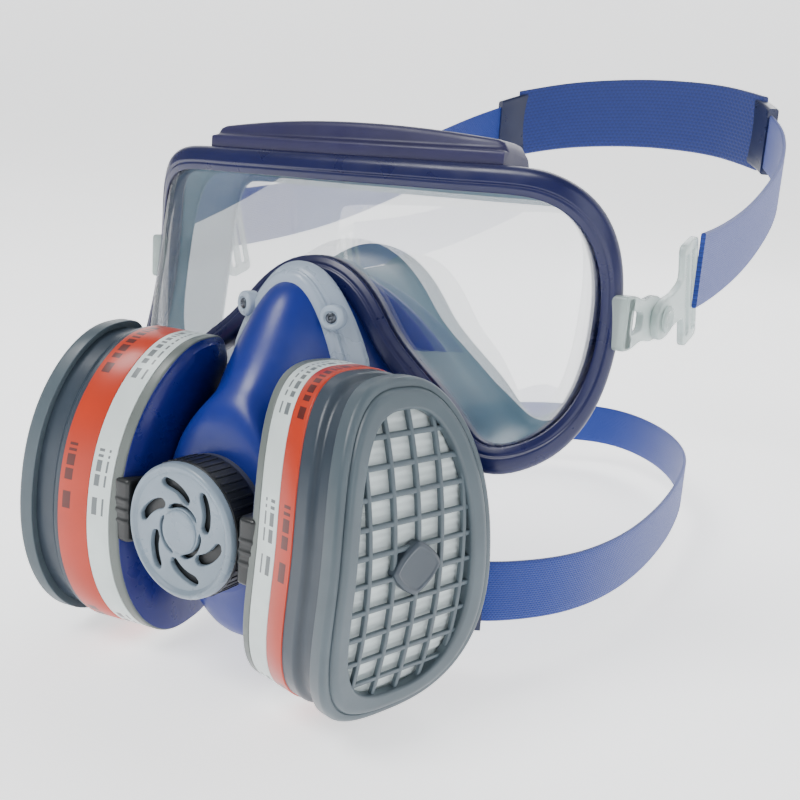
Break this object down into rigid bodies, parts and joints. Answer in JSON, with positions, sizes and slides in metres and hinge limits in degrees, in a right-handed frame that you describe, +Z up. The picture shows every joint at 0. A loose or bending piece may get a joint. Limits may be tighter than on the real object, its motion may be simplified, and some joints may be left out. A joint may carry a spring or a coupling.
{
  "type": "respirator",
  "caption": "Half-mask respirator with two side filters, joined goggles, an exhale valve, a head strap with a crown pad and a neck strap.",
  "frame": {"origin": "on the symmetry plane in front of the wearer's nose bridge, between the half mask and the goggles", "axes": "+Z up, -Y to the front, away from the face, +X to the wearer's left"},
  "size_m": [0.2008, 0.3393, 0.2066],
  "materials": {
    "soft_blue": "soft satin thermoplastic rubber",
    "frame_plastic": "moulded plastic",
    "valve_plastic": "moulded plastic",
    "valve_rubber": "thin silicone rubber",
    "cover_plastic": "satin moulded plastic",
    "shell_blue": "satin moulded plastic",
    "casing_grey": "moulded plastic",
    "grille_grey": "moulded plastic",
    "orange_label": "printed film band",
    "white_label": "printed film band",
    "filter_media": "pleated non-woven filter media",
    "screen_mesh": "thin non-woven screen",
    "charcoal": "granular activated carbon bed",
    "latch_dark": "moulded plastic",
    "rim_navy": "satin elastomer",
    "lens_clear": "clear polycarbonate",
    "skirt_clear": "translucent silicone",
    "vent_navy": "moulded plastic",
    "vent_foam": "open-cell foam",
    "saddle_clear": "translucent moulded plastic",
    "rivet_metal": "satin metal",
    "clip_clear": "translucent moulded plastic",
    "webbing_blue": "woven elastic webbing",
    "pad_fabric": "textured woven pad",
    "buckle_dark": "moulded plastic"
  },
  "bodies": {
    "root": {"mask_body": "soft_blue", "front_frame": "frame_plastic", "exhale_valve_seat": "valve_plastic", "exhale_valve_cover": "cover_plastic", "filter_port_left": "valve_plastic", "filter_port_right": "valve_plastic", "port_gasket_left": "valve_rubber", "port_gasket_right": "valve_rubber", "neck_anchor_left": "buckle_dark", "neck_anchor_right": "buckle_dark", "goggle_frame": "rim_navy", "goggle_lens": "lens_clear", "goggle_skirt": "skirt_clear", "vent_cover": "vent_navy", "vent_foam": "vent_foam", "nose_saddle": "saddle_clear", "saddle_rivets": "rivet_metal", "clip_arm_left": "clip_clear", "clip_arm_right": "clip_clear", "pivot_pin_left": "rivet_metal", "pivot_pin_right": "rivet_metal"},
    "exhale_flap_body": {"exhale_flap": "valve_rubber"},
    "inhale_flap_body_left": {"inhale_flap_left": "valve_rubber"},
    "inhale_flap_body_right": {"inhale_flap_right": "valve_rubber"},
    "filter_left": {"filter_shell_left": "shell_blue", "filter_casing_left": "casing_grey", "grille_left": "grille_grey", "orange_label_left": "orange_label", "white_label_left": "white_label", "particle_filter_left": "filter_media", "media_screen_left": "screen_mesh", "charcoal_bed_left": "charcoal", "outlet_screen_left": "screen_mesh"},
    "filter_right": {"filter_shell_right": "shell_blue", "filter_casing_right": "casing_grey", "grille_right": "grille_grey", "orange_label_right": "orange_label", "white_label_right": "white_label", "particle_filter_right": "filter_media", "media_screen_right": "screen_mesh", "charcoal_bed_right": "charcoal", "outlet_screen_right": "screen_mesh"},
    "latch_left": {"filter_latch_left": "latch_dark"},
    "latch_right": {"filter_latch_right": "latch_dark"},
    "head_harness": {"strap_buckle_left": "clip_clear", "strap_buckle_right": "clip_clear", "head_strap_left": "webbing_blue", "head_strap_right": "webbing_blue", "crown_slide_left": "buckle_dark", "crown_slide_right": "buckle_dark", "crown_pad": "pad_fabric"},
    "neck_harness": {"neck_hook_left": "buckle_dark", "neck_hook_right": "buckle_dark", "neck_slider_left": "buckle_dark", "neck_slider_right": "buckle_dark", "neck_strap": "webbing_blue"}
  },
  "joints": [
    {"name": "exhale_flap_lift", "type": "slide", "parent": "root", "child": "exhale_flap_body", "axis": [0, -1, 0], "range_m": [0, 0.0025], "stiffness_N_per_m": 8, "springref_m": -0.001},
    {"name": "inhale_flap_lift_left", "type": "slide", "parent": "root", "child": "inhale_flap_body_left", "axis": [-0.9683, 0.2468, -0.0384], "range_m": [0, 0.0012], "stiffness_N_per_m": 6, "springref_m": -0.001},
    {"name": "inhale_flap_lift_right", "type": "slide", "parent": "root", "child": "inhale_flap_body_right", "axis": [0.9683, 0.2468, -0.0384], "range_m": [0, 0.0012], "stiffness_N_per_m": 6, "springref_m": -0.001},
    {"name": "filter_pull_left", "type": "slide", "parent": "root", "child": "filter_left", "axis": [0.9683, -0.2468, 0.0384], "range_m": [0, 0.04]},
    {"name": "filter_pull_right", "type": "slide", "parent": "root", "child": "filter_right", "axis": [-0.9683, -0.2468, 0.0384], "range_m": [0, 0.04]},
    {"name": "latch_press_left", "type": "slide", "parent": "filter_left", "child": "latch_left", "axis": [0, 1, 0], "range_m": [0, 0.0025], "stiffness_N_per_m": 400, "springref_m": -0.001},
    {"name": "latch_press_right", "type": "slide", "parent": "filter_right", "child": "latch_right", "axis": [0, 1, 0], "range_m": [0, 0.0025], "stiffness_N_per_m": 400, "springref_m": -0.001},
    {"name": "head_harness_swing", "type": "hinge", "parent": "root", "child": "head_harness", "pos_m": [0, -0.0085, 0.0446], "axis": [1, 0, 0], "range_deg": [-12, 45]},
    {"name": "neck_harness_swing", "type": "hinge", "parent": "root", "child": "neck_harness", "pos_m": [0, -0.048, -0.047], "axis": [1, 0, 0], "range_deg": [-25, 10]}
  ]
}
